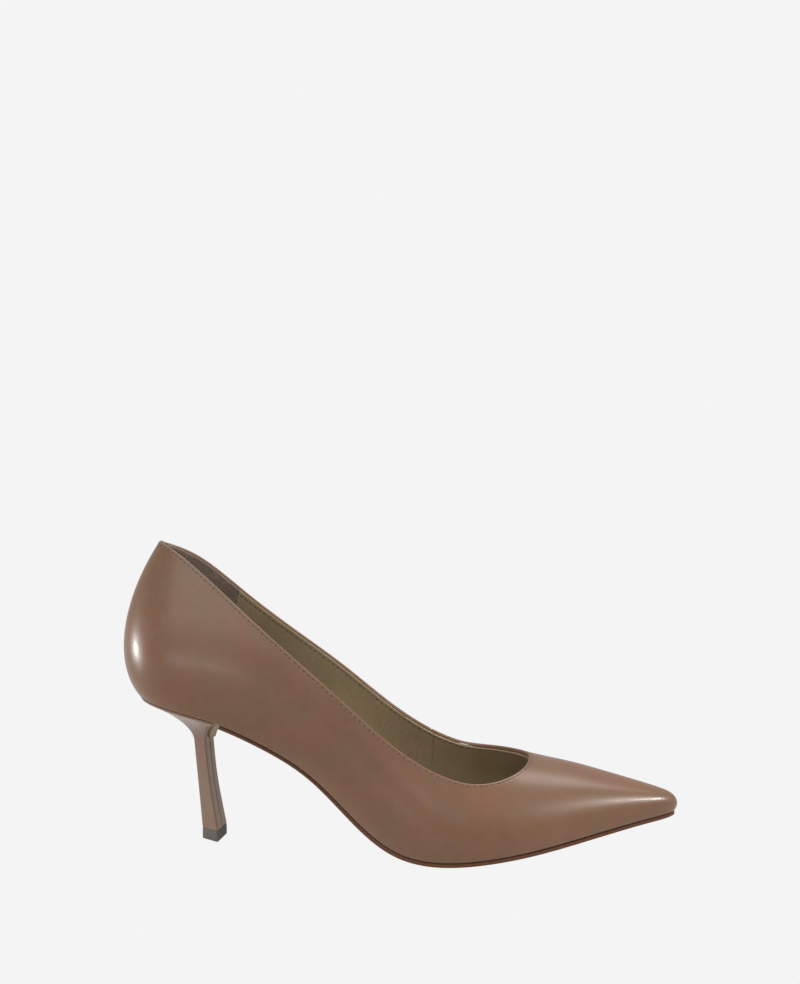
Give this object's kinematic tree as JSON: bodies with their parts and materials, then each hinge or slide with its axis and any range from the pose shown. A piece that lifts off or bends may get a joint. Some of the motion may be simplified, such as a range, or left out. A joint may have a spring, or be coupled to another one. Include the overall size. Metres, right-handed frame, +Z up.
{
  "type": "high heel pump",
  "caption": "Right-foot pointed pump with a slim leather-covered high heel, a low-cut topline, a full lining and a stitched topline edge.",
  "frame": {"origin": "bottom centre of the shoe's bounding box, on the floor it stands on", "axes": "+X from the heel to the toe, +Y to the inner (medial) side of this right shoe, +Z up"},
  "size_m": [0.2414, 0.0766, 0.1328],
  "materials": {
    "nude_leather": "smooth pearlised nude leather, semi-gloss",
    "heel_leather": "smooth pearlised nude leather wrapped round the heel, semi-gloss",
    "beige_lining": "smooth beige lining leather",
    "suede_grip": "dark brushed suede",
    "sole": "tan resin sole with a rust brown edge, satin",
    "lift_rubber": "hard grey-brown polyurethane, matte",
    "fibreboard": "pressed cellulose board",
    "cork": "granulated cork sheet",
    "heel_plastic": "moulded ABS",
    "steel": "spring steel",
    "foam": "latex foam",
    "tape": "woven reinforcing tape"
  },
  "bodies": {
    "root": {"upper_vamp_lateral": "nude_leather", "upper_medial_quarter": "nude_leather", "heel_cover": "heel_leather", "vamp_lining": "beige_lining", "quarter_lining_lateral": "beige_lining", "quarter_lining_medial": "beige_lining", "sock_lining": "beige_lining", "heel_grip": "suede_grip", "heel_counter": "fibreboard", "toe_puff": "fibreboard", "topline_tape": "tape", "insole_board": "fibreboard", "shank_board": "fibreboard", "bottom_filler": "cork", "steel_shank": "steel", "shank_rivet_rear": "steel", "shank_rivet_front": "steel", "outsole": "sole", "heel_block": "heel_plastic", "heel_dowel": "steel", "top_lift_pin": "steel", "top_lift": "lift_rubber", "heel_screw": "steel", "heel_nail_1": "steel", "heel_nail_2": "steel", "heel_nail_3": "steel", "heel_nail_4": "steel", "heel_pad": "foam", "forefoot_pad": "foam"}
  },
  "joints": []
}
